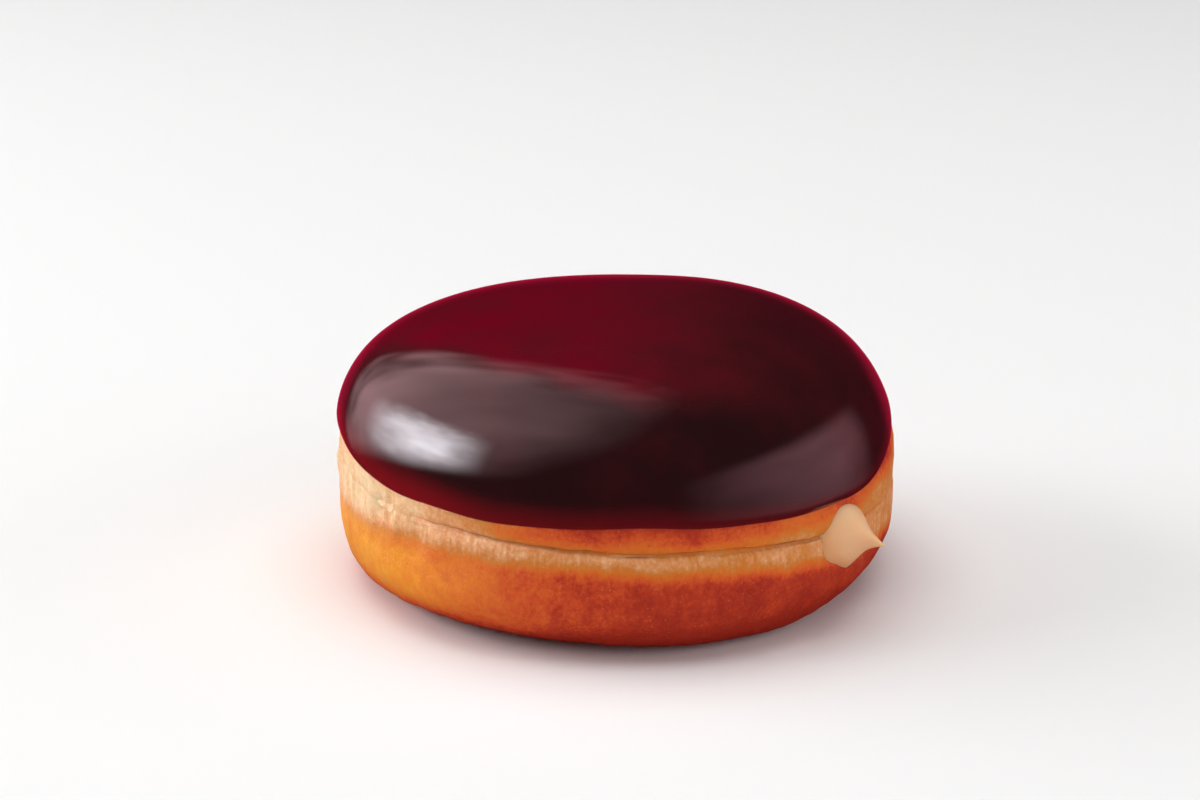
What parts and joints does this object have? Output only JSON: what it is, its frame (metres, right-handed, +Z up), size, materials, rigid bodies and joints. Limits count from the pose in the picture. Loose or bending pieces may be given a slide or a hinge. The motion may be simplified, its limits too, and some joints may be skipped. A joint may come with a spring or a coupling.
{
  "type": "boston cream doughnut",
  "caption": "Round yeast doughnut with dark glossy icing over its top and a custard filling that stands out of the side in a pointed dollop.",
  "frame": {"origin": "centre of the doughnut's flat foot, on the surface that it stands on", "axes": "+Z up, -Y towards the viewer, +X to the viewer's right; the custard comes out at the front right"},
  "size_m": [0.0896, 0.0901, 0.0444],
  "materials": {
    "dough": "fried yeast dough: golden brown below, pale round the middle, lightly oily",
    "icing": "smooth dark chocolate icing with a wet gloss",
    "custard": "smooth pale vanilla custard, softly glossy"
  },
  "bodies": {
    "root": {"dough": "dough", "icing": "icing", "custard": "custard"}
  },
  "joints": []
}
